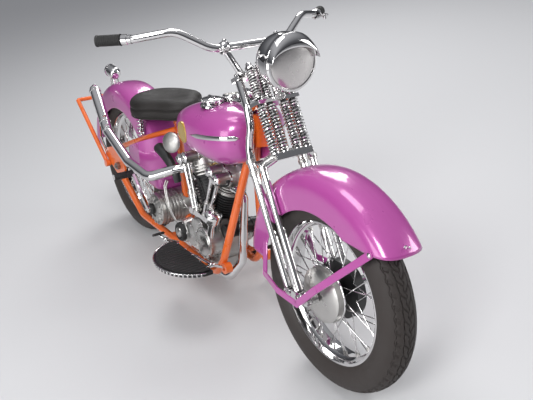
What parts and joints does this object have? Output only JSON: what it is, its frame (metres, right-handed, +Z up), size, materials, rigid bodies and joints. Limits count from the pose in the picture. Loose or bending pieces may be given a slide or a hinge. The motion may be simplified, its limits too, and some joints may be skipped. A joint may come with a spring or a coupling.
{
  "type": "bobber motorcycle",
  "caption": "Bobber motorcycle with an open V-twin, rigid frame and girder spring fork, leaning on its side stand.",
  "frame": {"origin": "middle of the bounding box on the floor", "axes": "+X forward, +Y to the rider's left, +Z up; the machine leans 10 degrees to the left on its side stand"},
  "size_m": [2.3024, 0.9262, 1.1675],
  "materials": {
    "cast_iron": "matte",
    "chrome": "polished",
    "leather": "satin",
    "magenta_paint": "gloss",
    "orange_paint": "gloss",
    "polished_alloy": "satin",
    "rubber": "matte",
    "steel": "satin",
    "tyre_rubber": "matte"
  },
  "bodies": {
    "chassis": {"air_cleaner": "chrome", "carburettor": "polished_alloy", "crankcase": "polished_alloy", "cylinder_front": "cast_iron", "cylinder_rear": "cast_iron", "dash": "chrome", "drive_chain": "steel", "exhaust_front": "chrome", "exhaust_rear": "chrome", "fender_struts": "chrome", "footboard_left": "rubber", "footboard_right": "rubber", "frame": "orange_paint", "fuel_tank_left": "magenta_paint", "fuel_tank_right": "magenta_paint", "gear_cover": "polished_alloy", "generator": "steel", "head_front": "polished_alloy", "head_rear": "polished_alloy", "kick_starter": "steel", "oil_tank": "magenta_paint", "primary_cover": "polished_alloy", "pushrod_tubes": "chrome", "rear_axle": "steel", "rear_fender": "magenta_paint", "saddle": "leather", "saddle_springs": "steel", "tail_light": "chrome", "timer": "chrome", "transmission": "polished_alloy"},
    "fork": {"fork_springs": "chrome", "front_axle": "chrome", "front_fender": "magenta_paint", "grips": "rubber", "handlebar": "chrome", "headlamp": "chrome", "rigid_fork": "chrome", "rockers": "steel", "spring_fork": "chrome"},
    "front_wheel": {"front_hub": "cast_iron", "front_rim": "chrome", "front_tyre": "tyre_rubber"},
    "rear_wheel": {"rear_hub": "cast_iron", "rear_rim": "chrome", "rear_tyre": "tyre_rubber"},
    "side_stand": {"side_stand": "orange_paint"},
    "rear_stand": {"rear_stand": "orange_paint"}
  },
  "joints": [
    {"name": "steering", "type": "hinge", "parent": "chassis", "child": "fork", "pos_m": [0.47526, -0.04494, 0.77981], "axis": [-0.4848, 0.1519, 0.8613], "range_deg": [-35, 35]},
    {"name": "front_wheel", "type": "hinge", "parent": "fork", "child": "front_wheel", "pos_m": [0.81322, -0.12359, 0.33375], "axis": [0, 0.9848, -0.1736], "continuous": true},
    {"name": "rear_wheel", "type": "hinge", "parent": "chassis", "child": "rear_wheel", "pos_m": [-0.69778, -0.12359, 0.33375], "axis": [0, 0.9848, -0.1736], "continuous": true},
    {"name": "side_stand", "type": "hinge", "parent": "chassis", "child": "side_stand", "pos_m": [0.07222, -0.03157, 0.1185], "axis": [0, 0.766, 0.6428], "range_deg": [0, 95]},
    {"name": "rear_stand", "type": "hinge", "parent": "chassis", "child": "rear_stand", "pos_m": [-0.81778, -0.12707, 0.31405], "axis": [0, -0.9848, 0.1736], "range_deg": [0, 80]}
  ]
}
